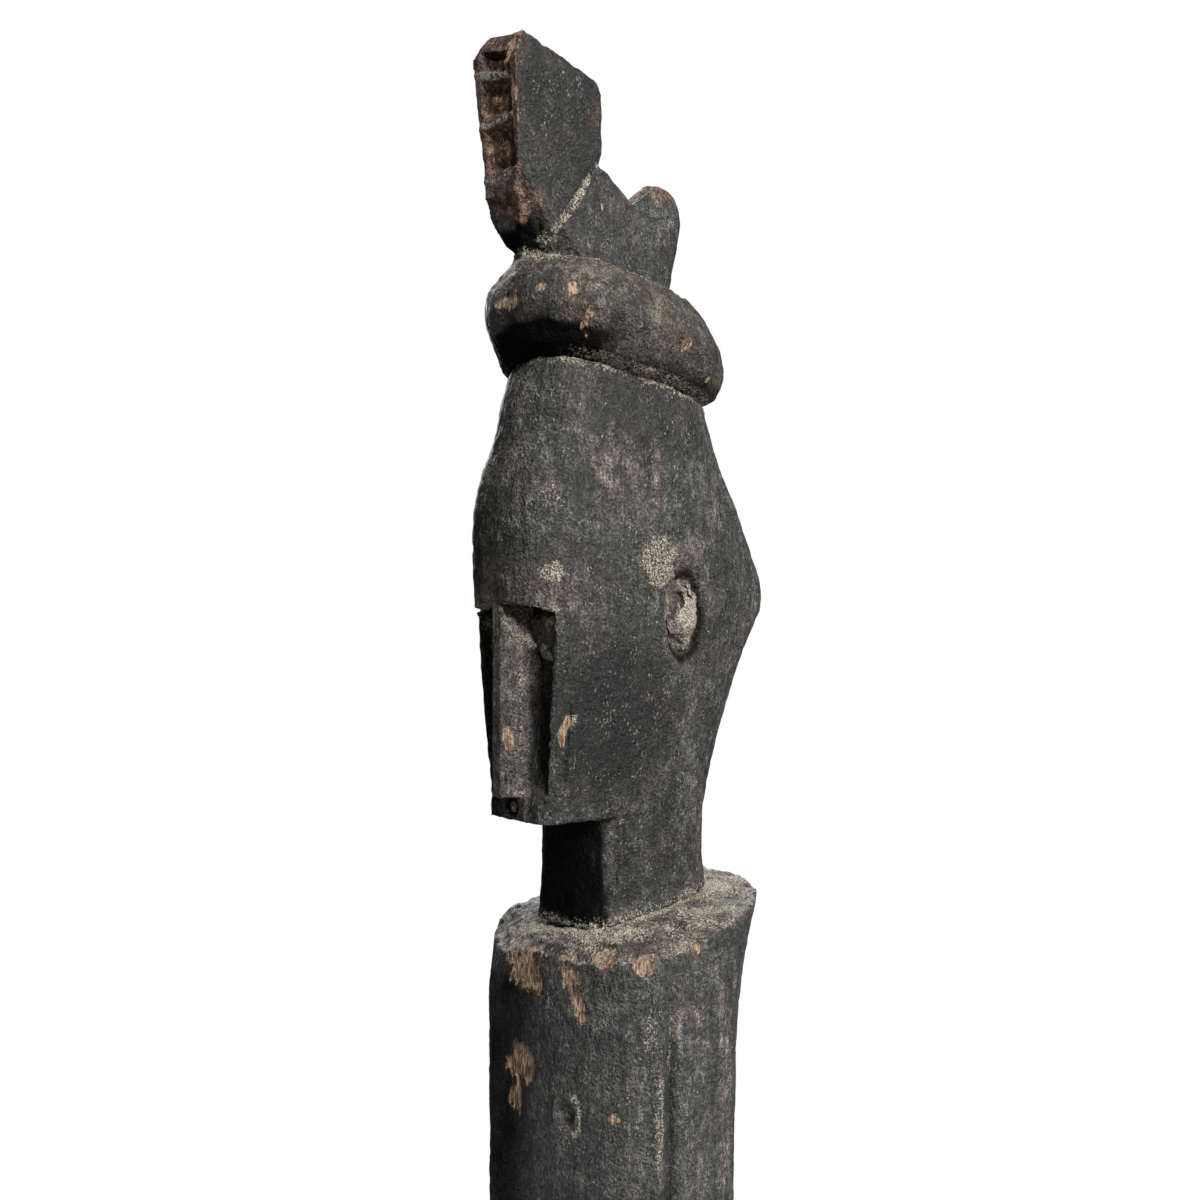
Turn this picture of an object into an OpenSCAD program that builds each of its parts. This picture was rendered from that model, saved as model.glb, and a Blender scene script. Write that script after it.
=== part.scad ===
// Standing ancestor figure carved from one log: plinth, legs, trunk with arms in low relief,
// neck, long narrow head, rolled headband and tall crest. Front faces -Y, its left is +X.

/* [Levels] */
// Height of the round plinth left at the foot of the log
plinth_h = 45; // [30:1:70]
// Thickness of the feet
foot_h = 18; // [12:1:26]
// Height of the legs above the feet
leg_h = 157; // [120:1:200]
// Height of the hip block
hips_h = 70; // [60:1:90]
// Height of the trunk, up to the shoulders at its axis
torso_h = 236; // [210:1:270]
// Rise of the sloping shoulder tops up to the root of the neck
shoulder_rise = 5; // [4:1:12]
// Height of the neck between shoulders and chin
neck_h = 38; // [32:1:60]
// Height of the face, from chin to brow ledge
face_h = 77; // [70:1:90]
// Height of the cranium, from brow ledge to headband
cranium_h = 88; // [76:1:100]
// Height of the rolled headband
ring_h = 38; // [32:1:44]
// Height of the crest above the headband
crest_h = 88; // [80:1:100]

/* [Log and trunk] */
// Diameter of the log and of the plinth
log_d = 138; // [134:1:150]
// Half width of the trunk
torso_w = 51; // [47:0.5:55]
// Relief of the arms above the sides of the trunk
arm_relief = 8; // [6:0.5:10]
// Width of the carved groove around each arm and ear
groove_w = 1.6; // [1:0.1:2.4]
// Rise of the shoulders toward the back, as height per length
shoulder_slope = 0.2; // [0.1:0.02:0.26]

/* [Head] */
// Half width of the head above the ears
head_w = 29; // [26:0.5:33]
// Width of the nose slab
nose_w = 16; // [13:0.5:19]
// How far the nose slab stands out from the hollows beside it
nose_reach = 15.5; // [11:0.5:16]
// Depth of the hollows beside the nose
cheek_depth = 9; // [6:0.5:11]
// Height of the oval ears
ear_len = 28; // [22:1:32]

/* [Headband and crest] */
// Fall of the headband toward the back, as height per length
ring_slope = 0.17; // [0.1:0.01:0.2]
// How far the headband swells out past the head
ring_swell = 11; // [8:0.5:14]
// Thickness of the crest at its top
fin_t = 25; // [20:0.5:28]
// Depth of the three cells cut in the front of the crest
cell_depth = 3.5; // [2:0.5:6]

/* [Facets] */
// Facets around each rounded body
sides = 40; // [32:4:48]
// Steps between two stations of a rounded body
steps = 3; // [2:1:4]

/* [Hidden] */

foot_z = plinth_h;
leg_z = foot_z + foot_h;
hip_z = leg_z + leg_h;
waist_z = hip_z + hips_h;
shoulder_z = waist_z + torso_h;
neck_z = shoulder_z + shoulder_rise;
chin_z = neck_z + neck_h;
brow_z = chin_z + face_h;
ring_z = brow_z + cranium_h;
crest_z = ring_z + ring_h;
top_z = crest_z + crest_h;

charred = [0.13, 0.125, 0.115];
smoky = [0.17, 0.16, 0.145];
worn_brown = [0.25, 0.17, 0.12];
far = 400;

// Stations of the rounded bodies. Each is
// [height share, slope, front y, widest y, back y, half width, front exponent, back exponent].
torso_rows = [
    [0, 0, -46, -5, 35, torso_w - 2, 2.6, 2.4],
    [0.3, 0, -46, -5, 35, torso_w - 1, 2.6, 2.4],
    [0.6, 0.3 * shoulder_slope, -46.5, -6, 35.5, torso_w - 0.5, 2.6, 2.4],
    [0.85, 0.8 * shoulder_slope, -46, -6, 38, torso_w, 2.7, 2.4],
    [1, shoulder_slope, -42.5, -6, 53, torso_w - 1, 2.8, 2.4]
];
neck_slope = 0.14;
neck_root = [1, neck_slope, -35, -2, 41, 27, 3.2, 2.8];
hips_rows = [
    [0, 0, -41, 2, 44, torso_w - 5, 2.6, 2.4],
    [0.4, 0, -45, 0, 47, torso_w + 1, 2.6, 2.4],
    [1, 0, -46, -5, 35, torso_w - 2, 2.6, 2.4]
];
leg_rows = [
    [0, 0, -20, 1, 22, 15, 2.3, 2.3],
    [0.3, 0, -24, 1, 28, 18, 2.3, 2.3],
    [0.62, 0, -29, -2, 25, 18, 2.3, 2.3],
    [1, 0, -35, 0, 36, 21, 2.6, 2.6]
];
foot_rows = [
    [0, 0, -46, -14, 28, 19, 2.4, 2.6],
    [0.6, 0, -45, -14, 27, 19, 2.4, 2.6],
    [1, 0, -38, -10, 25, 17, 2.4, 2.6]
];
neck_rows = [
    [0, neck_slope, -33, 0, 36, 22, 3.6, 3],
    [0.45, 0.5 * neck_slope, -32, 0, 35, 21, 3.6, 3],
    [1, 0, -32, 0, 36, 20.5, 3.6, 3]
];
face_rows = [
    [0, 0, -54.5, -2, 37, head_w - 8, 5, 2.8],
    [0.35, 0, -55, 0, 44.5, head_w - 5, 6.5, 2.5],
    [0.7, 0, -56, 2, 57, head_w - 2, 7, 2.3],
    [1, 0, -57.5, 4, 67.5, head_w, 6.5, 2.3]
];
cranium_rows = [
    [0, 0, -62, 4, 68, head_w, 3.8, 2.3],
    [0.14, 0, -63, 4, 68.5, head_w + 0.5, 3.6, 2.3],
    [0.4, -0.3 * ring_slope, -63.5, 2, 59, head_w + 0.5, 3.3, 2.2],
    [0.7, -0.6 * ring_slope, -58.5, -2, 46, head_w - 1, 2.9, 2.2],
    [1, -ring_slope, -47, -6, 37, head_w - 3.5, 2.6, 2.2]
];
knob_rows = [
    [0, -ring_slope, -14, 4, 20, 12, 2.4, 2.4],
    [0.35, -0.4 * ring_slope, -12, 5, 24, 12.5, 2.4, 2.4],
    [0.7, 0, -2, 11, 27.5, 12, 2.4, 2.4],
    [0.9, 0, 7, 15, 25.5, 9, 2.2, 2.2],
    [1, 0, 12, 16, 20, 4, 2, 2]
];
core_w = head_w - 5;
core_front = -44;
core_back = 26;
core_mid = (core_front + core_back) / 2;

// One station between the given ones, on a smooth curve through them.
function station(rows, u) =
    let (
        last = len(rows) - 1,
        i = min(floor(u), last - 1),
        f = u - i,
        b = rows[i],
        c = rows[i + 1],
        a = rows[max(i - 1, 0)],
        d = rows[min(i + 2, last)]
    )
    b + f * (c - a) / 2 + f * f * (2 * a - 5 * b + 4 * c - d) / 2
        + f * f * f * (3 * b - a - 3 * c + d) / 2;

function bent(v, e) = sign(v) * pow(abs(v), 2 / e);

// The outline at one station: two half superellipses that meet at the widest y.
function outline(r, z0, height) = [
    for (i = [0 : sides - 1])
        let (
            a = 360 * (i + 0.5) / sides,
            front = sin(a) < 0,
            e = front ? r[6] : r[7],
            reach = front ? r[3] - r[2] : r[4] - r[3],
            y = r[3] + reach * bent(sin(a), e)
        )
        [r[5] * bent(cos(a), e), y, z0 + r[0] * height + r[1] * y]
];

function outlines(rows, z0, height) = [
    for (k = [0 : (len(rows) - 1) * steps])
        outline(station(rows, k / steps), z0, height)
];

// A closed solid through a stack of outlines.
module skin(stack) {
    count = len(stack) - 1;
    points = [for (ring = stack) each ring];
    walls = [
        for (k = [0 : count - 1], i = [0 : sides - 1])
            let (
                a = k * sides + i,
                b = k * sides + (i + 1) % sides
            )
            each [[a, a + sides, b + sides], [a, b + sides, b]]
    ];
    caps = [
        [for (i = [0 : sides - 1]) i],
        [for (i = [sides - 1 : -1 : 0]) count * sides + i]
    ];
    polyhedron(points, concat(walls, caps), convexity = 6);
}

module loft(rows, z0, height) {
    skin(outlines(rows, z0, height));
}

module paired(side) {
    mirror([side < 0 ? 1 : 0, 0, 0]) children();
}

module plinth() {
    bevel = 3;
    r = log_d / 2;
    color(charred)
    rotate_extrude($fn = 96)
    polygon([
        [0, 0], [r - bevel, 0], [r, bevel],
        [r, plinth_h - bevel], [r - bevel, plinth_h], [0, plinth_h]
    ]);
}

module foot(side) {
    color(charred)
    paired(side)
    translate([24, 0, 0])
    loft(foot_rows, foot_z, foot_h);
}

module leg(side) {
    color(charred)
    paired(side)
    translate([24, 0, 0])
    loft(leg_rows, leg_z, leg_h);
}

module hips() {
    color(charred)
    loft(hips_rows, hip_z, hips_h);
}

arm_front = -19;
arm_back = 16;
arm_bottom = waist_z + 22;
arm_top = shoulder_z - 12;

// The space that an arm fills, cut back from the side of the trunk, less a margin all round.
module arm_space(margin) {
    translate([torso_w - arm_relief, arm_front + margin, arm_bottom + margin])
    cube([far, arm_back - arm_front - 2 * margin, arm_top - arm_bottom - 2 * margin]);
}

module torso() {
    color(charred)
    difference() {
        skin([
            each outlines(torso_rows, waist_z, torso_h),
            outline(neck_root, shoulder_z, shoulder_rise)
        ]);
        arm_space(0);
        mirror([1, 0, 0]) arm_space(0);
    }
}

module arm(side) {
    color(smoky)
    paired(side)
    intersection() {
        loft(torso_rows, waist_z, torso_h);
        arm_space(groove_w);
    }
}

module neck() {
    color(charred)
    loft(neck_rows, neck_z, neck_h);
}

cheek_y = face_rows[1][2] + cheek_depth;
cheek_top_w = head_w - 4.5;
cheek_low_w = head_w - 13.5;
mouth_z = chin_z + 5;
nose_z = chin_z + 9;

// The hollow cut back on both sides of the nose and mouth, wider under the brow.
module cheek_hollow() {
    bar_w = nose_w / 2;
    translate([0, cheek_y, 0])
    rotate([90, 0, 0])
    linear_extrude(far)
    polygon([
        [-cheek_low_w, chin_z - 1], [-bar_w, chin_z - 1], [-bar_w, nose_z], [bar_w, nose_z],
        [bar_w, chin_z - 1], [cheek_low_w, chin_z - 1], [cheek_top_w, brow_z], [-cheek_top_w, brow_z]
    ]);
}

ear_y = 8;
ear_w = 16;
ear_floor = head_w - 5;
ear_z = brow_z - 1;

// An oval bar along X through the ear, smaller by a margin all round.
module ear_bar(margin, length) {
    points = [
        for (i = [0 : 23])
            [(ear_len / 2 - margin) * cos(15 * i), (ear_w / 2 - margin) * sin(15 * i)]
    ];
    translate([ear_floor, ear_y, ear_z])
    rotate([0, 90, 0])
    linear_extrude(length)
    polygon(points);
}

module both_ears_cut() {
    ear_bar(0, far);
    mirror([1, 0, 0]) ear_bar(0, far);
}

module face() {
    mouth_r = 4;
    color(charred)
    difference() {
        loft(face_rows, chin_z, face_h);
        cheek_hollow();
        both_ears_cut();
        translate([0, face_rows[0][2] - 1, mouth_z])
        rotate([-90, 0, 0])
        cylinder(r = mouth_r, h = 5, $fn = 24);
    }
}

module cranium() {
    color(charred)
    union() {
        difference() {
            loft(cranium_rows, brow_z, cranium_h);
            both_ears_cut();
        }
        core();
    }
}

// The crown that passes up through the headband, from its lower to its upper plane.
module core() {
    rows = [
        for (t = [0, 1])
            [t, -ring_slope, core_front, core_mid, core_back, core_w, 2.2, 2.2]
    ];
    loft(rows, ring_z, ring_h);
}

// A slab with a flat ridge and a sloping face on each side.
module nose() {
    base = nose_w / 2;
    side_y = -4.5;
    ridge = nose_w * 0.16;
    color(smoky)
    translate([0, cheek_y, nose_z])
    linear_extrude(brow_z - nose_z)
    polygon([
        [-base + 0.5, 0], [base - 0.5, 0], [base, side_y],
        [ridge, -nose_reach], [-ridge, -nose_reach], [-base, side_y]
    ]);
}

module ear(side) {
    color(worn_brown)
    paired(side)
    ear_bar(groove_w, head_w - ear_floor);
}

module headband() {
    fullest = 0.4;
    rows = [
        for (t = [0, 0.1, 0.25, 0.4, 0.6, 0.8, 1])
            let (
                away = t < fullest ? 1 - t / fullest : (t - fullest) / (1 - fullest),
                bulge = t < fullest ? sqrt(1 - away * away) : 1 - pow(away, 1.7),
                w = core_w + 2 + (ring_swell + 1) * bulge,
                reach = 4 + ring_swell * bulge
            )
            [t, -ring_slope, core_front - reach, core_mid, core_back + reach + 2, w, 2.3, 2.2]
    ];
    color(smoky)
    difference() {
        loft(rows, ring_z, ring_h);
        core();
    }
}

// Side outline of the crest, y against height above the headband at the axis.
fin_front = [-61.5, 76];
fin_chin = [-58, 38];
fin_peak = [-56, 88];
fin_heel = [-24, 76];
fin_back = [-21, 72];
groove_top = [-20, 46];
groove_foot = [-47, 8];

// A prism along X from a side outline given as y and height.
module side_prism(points, thick) {
    translate([-thick / 2, 0, crest_z])
    rotate([90, 0, 90])
    linear_extrude(thick)
    polygon(points);
}

module crest_saddle() {
    saddle_low = [-4, 34];
    rear = [6, 41];
    color(charred)
    intersection() {
        side_prism([
            groove_foot, [rear[0], -ring_slope * rear[0]], rear, saddle_low, groove_top
        ], fin_t + 4);
        front_taper(fin_t / 2 + 2, fin_t / 2 - 2);
    }
}

// A prism along Y that narrows from its half width at the foot to that at the saddle's height.
module front_taper(foot_w, high_w) {
    translate([0, far / 2, crest_z])
    rotate([90, 0, 0])
    linear_extrude(far)
    polygon([[-foot_w, -9], [foot_w, -9], [high_w, groove_top[1]], [-high_w, groove_top[1]]]);
}

module crest_knob() {
    rear = 6;
    color(worn_brown)
    intersection() {
        loft(knob_rows, crest_z, 47);
        translate([-far / 2, rear, 0]) cube([far, far, 3 * far]);
    }
}

module crest_fin() {
    waist_w = 8;
    cell_w = fin_t - 8;
    color(charred)
    difference() {
        intersection() {
            side_prism([groove_foot, groove_top, fin_back, fin_heel, fin_peak, fin_front, fin_chin], fin_t);
            translate([0, far / 2, crest_z])
            rotate([90, 0, 0])
            linear_extrude(far)
            polygon([
                [-waist_w, 0], [waist_w, 0], [fin_t / 2, fin_front[1]], [fin_t / 2 - 3, crest_h],
                [3 - fin_t / 2, crest_h], [-fin_t / 2, fin_front[1]]
            ]);
        }
        for (k = [0 : 2])
            fin_cell(fin_front[1] - 4 - 17 * k, cell_w - 2 * k);
    }
}

// One rectangular cell in the front edge, with its middle at height z.
module fin_cell(z, w) {
    cell_h = 13;
    lean = 12;
    front_y = fin_front[0] + (fin_front[1] - z) * (fin_chin[0] - fin_front[0]) / (fin_front[1] - fin_chin[1]);
    translate([0, front_y + cell_depth, crest_z + z])
    rotate([lean, 0, 0])
    translate([-w / 2, -far, -cell_h / 2])
    cube([w, far, cell_h]);
}

plinth();
foot(1);  // left_foot
foot(-1);  // right_foot
leg(1);  // left_leg
leg(-1);  // right_leg
hips();
torso();
arm(1);  // left_arm
arm(-1);  // right_arm
neck();
face();
cranium();
nose();
ear(1);  // left_ear
ear(-1);  // right_ear
headband();
crest_saddle();
crest_knob();
crest_fin();
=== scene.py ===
"""Looks of the carved ancestor figure: each carved element of the frame is copied, remeshed and
carved further here, then painted with one family of smoke-blackened wood materials."""

import itertools
import math

import bmesh
import bpy
import numpy as np
from mathutils import Matrix, Vector


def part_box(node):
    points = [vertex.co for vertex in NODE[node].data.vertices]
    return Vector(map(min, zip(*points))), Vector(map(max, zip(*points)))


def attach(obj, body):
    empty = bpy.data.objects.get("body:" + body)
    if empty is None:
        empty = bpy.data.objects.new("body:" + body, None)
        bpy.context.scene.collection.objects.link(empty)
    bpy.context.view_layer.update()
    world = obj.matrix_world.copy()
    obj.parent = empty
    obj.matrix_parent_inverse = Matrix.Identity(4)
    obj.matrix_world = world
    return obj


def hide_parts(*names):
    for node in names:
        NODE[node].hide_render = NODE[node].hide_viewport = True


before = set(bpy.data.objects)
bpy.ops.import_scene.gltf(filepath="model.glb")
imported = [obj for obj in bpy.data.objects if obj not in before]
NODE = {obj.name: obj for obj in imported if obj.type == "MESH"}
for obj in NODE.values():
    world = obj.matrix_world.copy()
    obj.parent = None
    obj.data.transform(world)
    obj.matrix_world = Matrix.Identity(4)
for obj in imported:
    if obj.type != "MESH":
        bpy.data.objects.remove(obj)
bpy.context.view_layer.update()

MM = 0.001  # all carving is worked out in millimetres, and meshes are in metres
# Painted channels: chips, dust, wear, painted shade, cracks with painted shade in the ear's holes and pits,
# red cells, and tone.
CHANNELS = ("chip", "dust", "wear", "painted_shade", "crack_and_shade", "red", "tone")


def edges_mm(node):
    """Lowest and highest corner of a CAD node, in millimetres."""
    low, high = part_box(node)
    return np.array(low) / MM, np.array(high) / MM


CHIN_Z = edges_mm("face")[0][2]
BROW_Z = edges_mm("face")[1][2]
WAIST_Z = edges_mm("torso")[0][2]
HIP_Z = edges_mm("hips")[0][2]
LEG_Z = edges_mm("left_leg")[0][2]
PLINTH_Z = edges_mm("plinth")[1][2]
TOP_Z = edges_mm("crest_fin")[1][2]
RING_MID_Z = sum(e[2] for e in edges_mm("headband")) / 2
RING_SLOPE = 0.17  # fall of the headband toward the back
RING_HALF = 19.0  # half the headband's height
NECK_SLOPE = 0.14  # rise of the neck's root toward the back
NECK_Z = 531.0  # height of the neck's root at the axis
EAR_Y, EAR_Z = 8.0, BROW_Z - 1
ARM_LOW, ARM_HIGH = edges_mm("left_arm")
GROOVE = 1.6  # width of the groove round each arm
CREST_Z = TOP_Z - 88  # top of the headband at the axis
UP, DOWN = (0, 0, 1), (0, 0, -1)
BACK, FORWARD = (0, 1, 0), (0, -1, 0)


# ---------------------------------------------------------------- noise and fields


def hashed(i, seed):
    """A repeatable number from 0 to 1 for each lattice cell."""
    h = (i[..., 0] * 73856093) ^ (i[..., 1] * 19349663) ^ (i[..., 2] * 83492791)
    h = (h ^ (seed * 2654435761)) & 0xFFFFFFFF
    h = ((h ^ (h >> 13)) * 1274126177) & 0xFFFFFFFF
    h = ((h ^ (h >> 15)) * 2246822519) & 0xFFFFFFFF
    return ((h ^ (h >> 16)) & 0xFFFF) / 65535.0


def noise(p, size, seed):
    """Smooth noise from -1 to 1. size is the length of a feature along x, y and z."""
    q = p / np.broadcast_to(size, 3)
    cell = np.floor(q).astype(np.int64)
    f = q - cell
    w = f * f * (3 - 2 * f)
    total = np.zeros(len(p))
    for corner in itertools.product((0, 1), repeat=3):
        share = np.prod(np.where(corner, w, 1 - w), axis=1)
        total += share * hashed(cell + corner, seed)
    return 2 * total - 1


def fractal(p, size, seed, octaves=3):
    """Layers of noise, each half as large and half as strong as the one before."""
    size = np.broadcast_to(size, 3).astype(float)
    parts = [noise(p, size / 2**k, seed + k) / 2**k for k in range(octaves)]
    return sum(parts) / sum(0.5**k for k in range(octaves))


def scoops(p, size, seed):
    """Distance to the nearest of a set of scattered points: low in each scoop, high on its rim."""
    q = p / np.array(size, float)
    cell = np.floor(q).astype(np.int64)
    best = np.full(len(p), 9.0)
    for step in itertools.product((-1, 0, 1), repeat=3):
        at = cell + step
        spot = np.stack([hashed(at, seed + k) for k in range(3)], axis=1)
        best = np.minimum(best, ((at + 0.15 + 0.7 * spot - q) ** 2).sum(axis=1))
    return np.sqrt(best)


def ramp(x, low, high):
    """0 below low, 1 above high, smooth between. low may be the greater."""
    t = np.clip((x - low) / (high - low), 0, 1)
    return t * t * (3 - 2 * t)


def bell(x, width):
    """1 at 0, falling smoothly to nothing about two widths away."""
    return np.exp(-((x / width) ** 2))


def blob(p, centre, radii, tilt=0.0):
    """1 at the centre of an ellipse on the surface, 0 at its rim, less outside. tilt turns it in YZ."""
    d = p - np.array(centre, float)
    c, s = math.cos(math.radians(tilt)), math.sin(math.radians(tilt))
    across = np.hypot(d[:, 0], d[:, 1]) * np.sign(d[:, 0] + d[:, 1])
    a, b = c * across + s * d[:, 2], c * d[:, 2] - s * across
    return 1 - np.sqrt((a / radii[0]) ** 2 + (b / radii[1]) ** 2)


def strip(p, start, end, width):
    """1 on the line from start to end, 0 at width from it, less outside."""
    start = np.array(start, float)
    along = np.array(end, float) - start
    share = np.clip((p - start) @ along / (along @ along), 0, 1)
    return 1 - np.linalg.norm(p - start - share[:, None] * along, axis=1) / width


# ---------------------------------------------------------------- meshes


def add_prism(bm, outline, half):
    """A closed prism across X, from its side outline in YZ and its half width, in mm."""
    rings = [[bm.verts.new(Vector((x, y, z)) * MM) for y, z in outline] for x in (-half, half)]
    bm.faces.new(rings[0])
    bm.faces.new(rings[1][::-1])
    for k in range(len(outline)):
        bm.faces.new([rings[1][k - 1], rings[1][k], rings[0][k], rings[0][k - 1]])


def merged_copy(name, nodes, swell, filler):
    """One new mesh object with several CAD nodes. swell fills the groove round a node, in mm."""
    bm = bmesh.new()
    if filler:
        add_prism(bm, *filler)
    for node in nodes:
        first = len(bm.verts)
        bm.from_mesh(NODE[node].data)
        bm.verts.ensure_lookup_table()
        low, high = edges_mm(node)
        middle = (low + high) / 2 * MM
        for vert in bm.verts[first:]:
            for axis in (1, 2):
                vert.co[axis] += math.copysign(swell.get(node, 0) * MM, vert.co[axis] - middle[axis])
    mesh = bpy.data.meshes.new(name)
    bm.to_mesh(mesh)
    bm.free()
    ob = bpy.data.objects.new(name, mesh)
    bpy.context.scene.collection.objects.link(ob)
    return ob


def remeshed(name, nodes, voxel, swell=None, filler=None):
    """The nodes as one even closed skin, of voxels this many mm wide."""
    ob = merged_copy(name, nodes, swell or {}, filler)
    skin = ob.modifiers.new("skin", "REMESH")
    skin.mode = "VOXEL"
    skin.voxel_size = voxel * MM * 1
    done = ob.evaluated_get(bpy.context.evaluated_depsgraph_get())
    mesh = bpy.data.meshes.new_from_object(done)
    bpy.data.objects.remove(ob)
    return mesh


class Skin:
    """The vertices of a mesh as arrays, with the painted channels that the materials read."""

    def __init__(self, mesh):
        self.mesh = mesh
        count = len(mesh.vertices)
        flat = np.empty(count * 3)
        mesh.vertices.foreach_get("co", flat)
        self.p = flat.reshape(-1, 3) / MM
        pairs = np.empty(len(mesh.edges) * 2, np.int64)
        mesh.edges.foreach_get("vertices", pairs)
        self.a, self.b = pairs.reshape(-1, 2).T
        self.degree = np.bincount(np.concatenate([self.a, self.b]), minlength=count)
        self.paint = {c: np.zeros(count) for c in CHANNELS}
        self.paint["tone"] += 0.5
        self.normals()

    def place(self):
        """Writes the points back to the mesh."""
        self.mesh.vertices.foreach_set("co", (self.p * MM).ravel())
        self.mesh.update()

    def normals(self):
        self.place()
        flat = np.empty(len(self.p) * 3)
        self.mesh.vertex_normals.foreach_get("vector", flat)
        self.n = flat.reshape(-1, 3)

    def averaged(self, values, times):
        """values smoothed over the mesh's edges."""
        values = values.astype(float)
        for _ in range(times):
            total = np.stack(
                [
                    np.bincount(self.a, column[self.b], len(column))
                    + np.bincount(self.b, column[self.a], len(column))
                    for column in values.T
                ],
                axis=1,
            )
            values = 0.5 * values + 0.5 * total / self.degree[:, None]
        return values

    def hollow(self, times):
        """How far each vertex lies in a hollow (above 0) or on an edge (below 0), in mm."""
        return ((self.averaged(self.p, times) - self.p) * self.n).sum(axis=1)

    def relax(self, times):
        """Rounds sharp edges and keeps the size."""
        for _ in range(times):
            self.p = self.averaged(self.p, 1)
            self.p = self.p + 1.03 * (self.p - self.averaged(self.p, 1))
        self.normals()

    def push(self, depth):
        """Moves the surface out along its normals, by depth in mm."""
        self.p = self.p + self.n * np.asarray(depth)[:, None]

    def shave(self, point, outward, mask=1.0, ripple=0.35):
        """Pares the surface down to a plane, as a knife does, with a slight ripple."""
        outward = np.array(outward, float) / np.linalg.norm(outward)
        above = (self.p - np.array(point, float)) @ outward + ripple * noise(self.p, (9, 9, 16), 15)
        self.p = self.p - (np.maximum(above, 0) * mask)[:, None] * outward

    def add(self, channel, amount):
        """Paints a channel where it is fainter than amount."""
        self.paint[channel] = np.maximum(self.paint[channel], np.clip(amount, 0, 1))

    def write(self):
        """The mesh with its points placed and its channels stored for the materials."""
        self.place()
        for channel, amount in self.paint.items():
            layer = self.mesh.attributes.new(channel, "FLOAT", "POINT")
            layer.data.foreach_set("value", np.clip(amount, 0, 1))
        return self.mesh


def cut(mesh, name, planes):
    """The closed part of a mesh on the inner side of planes, each (point, outward normal) in mm."""
    bm = bmesh.new()
    bm.from_mesh(mesh)
    for point, outward in planes:
        made = bmesh.ops.bisect_plane(
            bm,
            geom=bm.verts[:] + bm.edges[:] + bm.faces[:],
            plane_co=Vector(point) * MM,
            plane_no=Vector(outward),
            clear_outer=True,
        )
        rim = [e for e in made["geom_cut"] if isinstance(e, bmesh.types.BMEdge)]
        rim = [e for e in rim if e.is_valid and e.is_boundary]
        caps = bmesh.ops.holes_fill(bm, edges=rim, sides=0)["faces"]
        for e in rim:
            e.smooth = False
        bmesh.ops.triangulate(bm, faces=caps)
    part = bpy.data.meshes.new(name)
    bm.to_mesh(part)
    bm.free()
    return part


def piece(mesh, node, slot):
    """Shows a mesh in place of a CAD node, on the one rigid body."""
    mesh.name = node + "_carved"
    mesh.polygons.foreach_set("use_smooth", [True] * len(mesh.polygons))
    ob = bpy.data.objects.new(mesh.name, mesh)
    bpy.context.scene.collection.objects.link(ob)
    mesh.materials.append(MATERIAL[slot])
    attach(ob, "root")
    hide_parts(node)


# ---------------------------------------------------------------- carving

# Chips down to bare wood: centre, half width, half height, tilt in degrees, depth.
CHIPS = [
    ((1, -58, 762), 7, 4, 0, 0.6),
    ((17, -54, 765), 3, 2, 20, 0.5),
    ((26, -46, 763), 3.5, 4.5, -20, 0.7),
    ((30, -42, 752), 3.5, 6, -35, 0.7),
    ((37, 2, 748), 3.5, 3, -30, 0.5),
    ((31, 17, 737), 1.5, 2, 0, 0.4),
    ((-6, -44, 510), 13, 8, 0, 0.8),
    ((18, -42, 513), 7, 5.5, 0, 0.9),
    ((24, -42, 503), 3.6, 8, 30, 0.8),
    ((31, -37, 521), 7, 4, 0, 0.7),
    ((44, -28, 520), 5, 4, 0, 0.7),
    ((48, -12, 525), 3.5, 2.5, 0, 0.5),
    ((49, -8, 521), 1.6, 4.5, -25, 0.5),
    ((-7, -46, 474), 12, 8, 20, 0.9),
    ((-9, -46, 462), 5, 8, 0, 0.7),
    ((39, -37, 465), 3.2, 2.6, 0, 0.6),
    ((4, -59, 600), 1.7, 5, 12, 0.3),
    ((24, -48, 603), 1.9, 7, -20, 0.25),
    ((13, -20, 804), 1.6, 5, 0, 0.4),
    ((6, -59, 852), 4, 6.5, 0, 0.1),
    ((10, -61, 838), 1.6, 6, 0, 0.2),
    ((-15, -62, 651), 3.5, 5, 0, 0.3),
    ((-30, -48, 690), 4, 6, 10, 0.5),
    ((-37, -36, 748), 6, 4, 20, 0.7),
    ((-20, 38, 742), 5, 3, 0, 0.6),
    ((-44, 30, 520), 6, 4, 0, 0.7),
    ((8, 44, 500), 4, 9, 10, 0.7),
    ((-50, 8, 420), 3, 12, 0, 0.7),
    ((20, -44, 350), 6, 9, 0, 0.8),
    ((-30, 40, 250), 8, 6, 0, 0.8),
    ((46, -30, 262), 5, 8, 0, 0.8),
    ((30, -28, 190), 4, 9, 0, 0.7),
    ((-38, -12, 120), 4, 8, 0, 0.7),
]

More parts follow.
